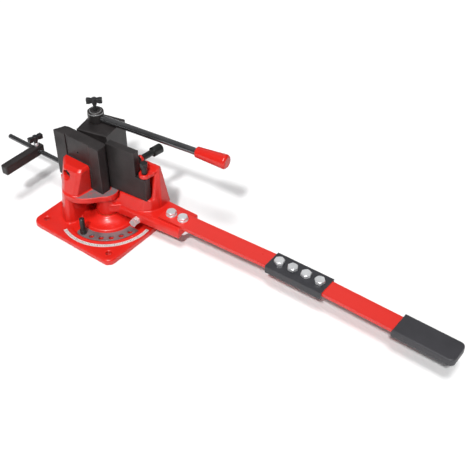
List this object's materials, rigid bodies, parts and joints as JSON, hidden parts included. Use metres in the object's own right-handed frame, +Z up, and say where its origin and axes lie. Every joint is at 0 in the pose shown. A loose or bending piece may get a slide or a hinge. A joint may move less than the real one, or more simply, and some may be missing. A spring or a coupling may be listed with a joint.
{
  "type": "bench bender",
  "caption": "Bench bender for flat bar: fixed jaw, eccentric clamp jaw with lever, swing arm with pressure plate and long bolted handle, index plate with stop pin.",
  "frame": {"origin": "centre of the base plate's four mounting holes, on its flat underside", "axes": "+Z up; +X along the fixed jaw, towards its nose and the swing handle; +Y towards the clamp jaw"},
  "size_m": [0.9572, 0.2, 0.223],
  "materials": {
    "red_enamel": "gloss enamel over a sand casting",
    "black_steel": "satin black oxide over machined steel",
    "bare_steel": "machined, lightly oiled",
    "zinc_steel": "bright zinc plate",
    "dark_rod": "polished dark steel",
    "bronze": "sintered bronze",
    "scale_white": "white printed strip",
    "grey_sleeve": "dark grey powder coat",
    "black_plastic": "moulded, fine grain",
    "red_plastic": "moulded, glossy"
  },
  "bodies": {
    "base": {"base_plate": "red_enamel", "base_casting": "red_enamel", "index_plate": "bare_steel", "angle_scale": "scale_white", "pivot_pin": "bare_steel", "pivot_retainer": "bare_steel", "retainer_screws": "zinc_steel", "thrust_washers": "bronze", "fixed_jaw": "black_steel", "jaw_screw": "black_steel", "jaw_dowels": "bare_steel", "shaft_bush": "bronze"},
    "arm": {"swing_arm": "red_enamel", "pivot_bush": "bronze", "handle_bar_inner": "red_enamel", "handle_sleeve": "grey_sleeve", "handle_bar_outer": "red_enamel", "end_grip": "black_plastic", "arm_bolts": "zinc_steel", "arm_washers": "zinc_steel", "arm_nuts": "zinc_steel", "sleeve_bolts": "zinc_steel", "sleeve_nuts": "zinc_steel", "stop_bolt_nut": "zinc_steel"},
    "plate": {"pressure_plate": "black_steel"},
    "plate_screw": {"adjusting_screw": "black_steel"},
    "hold_bolt": {"hold_down_bolt": "black_steel"},
    "arm_stop": {"stop_bolt": "zinc_steel"},
    "pin": {"stop_pin": "bare_steel"},
    "clamp_shaft": {"eccentric_shaft": "black_steel", "hub_cap": "black_steel"},
    "clamp_slider": {"clamp_bush": "bronze"},
    "clamp": {"clamp_jaw": "black_steel"},
    "lever": {"lever_rod": "dark_rod", "lever_grip": "red_plastic"},
    "lever_lock": {"lever_knob": "black_plastic"},
    "gauge_rod": {"stop_rod": "dark_rod"},
    "gauge_block": {"material_stop": "black_steel"},
    "gauge_lock": {"stop_knob": "black_plastic"}
  },
  "joints": [
    {"name": "arm_swing", "type": "hinge", "parent": "base", "child": "arm", "pos_m": [0.007, -0.002, 0.045], "axis": [0, 0, 1], "range_deg": [-73, 6]},
    {"name": "plate_feed", "type": "slide", "parent": "arm", "child": "plate", "axis": [0.1323, 0.9912, 0], "range_m": [0, 0.004]},
    {"name": "plate_screw_turn", "type": "hinge", "parent": "plate", "child": "plate_screw", "pos_m": [0.06435, 0.02652, 0.148], "axis": [0.1323, 0.9912, 0], "range_deg": [0, 823]},
    {"name": "hold_bolt_turn", "type": "hinge", "parent": "arm", "child": "hold_bolt", "pos_m": [0.08419, 0.02481, 0.14], "axis": [0, 0, 1], "range_deg": [0, 180]},
    {"name": "arm_stop_turn", "type": "hinge", "parent": "arm", "child": "arm_stop", "pos_m": [0.07909, 0.00024, 0.036], "axis": [0.0906, -0.9959, 0], "range_deg": [0, 180]},
    {"name": "pin_lift", "type": "slide", "parent": "base", "child": "pin", "axis": [0, 0, 1], "range_m": [0, 0.034]},
    {"name": "clamp_turn", "type": "hinge", "parent": "base", "child": "clamp_shaft", "pos_m": [-0.057, 0.0515, 0.1], "axis": [0, 0, 1], "range_deg": [-32, 32]},
    {"name": "clamp_feed", "type": "slide", "parent": "base", "child": "clamp_slider", "axis": [0, 1, 0], "range_m": [-0.0014, 0.0014]},
    {"name": "clamp_swivel", "type": "hinge", "parent": "clamp_slider", "child": "clamp", "pos_m": [-0.0545, 0.0515, 0.125], "axis": [0, 0, 1], "range_deg": [-13.5, 0]},
    {"name": "lever_slide", "type": "slide", "parent": "clamp_shaft", "child": "lever", "axis": [0.993, 0.1184, 0], "range_m": [0, 0.008]},
    {"name": "lever_lock_turn", "type": "hinge", "parent": "clamp_shaft", "child": "lever_lock", "pos_m": [-0.0545, 0.0515, 0.2], "axis": [0, 0, 1], "range_deg": [0, 180]},
    {"name": "gauge_turn", "type": "hinge", "parent": "base", "child": "gauge_rod", "pos_m": [-0.097, -0.006, 0.09], "axis": [1, 0, 0], "range_deg": [-90, 60]},
    {"name": "gauge_slide", "type": "slide", "parent": "gauge_rod", "child": "gauge_block", "axis": [1, 0, 0], "range_m": [-0.06, 0.056]},
    {"name": "gauge_lock_turn", "type": "hinge", "parent": "gauge_block", "child": "gauge_lock", "pos_m": [-0.17, -0.006, 0.105], "axis": [0, 0, 1], "range_deg": [0, 180]}
  ],
  "couplings": [
    {"joint": "plate_screw_turn", "follows": "plate_feed", "rad_per_m": 3590.4},
    {"joint": "clamp_feed", "follows": "clamp_turn", "m_per_rad": 0.0025}
  ]
}
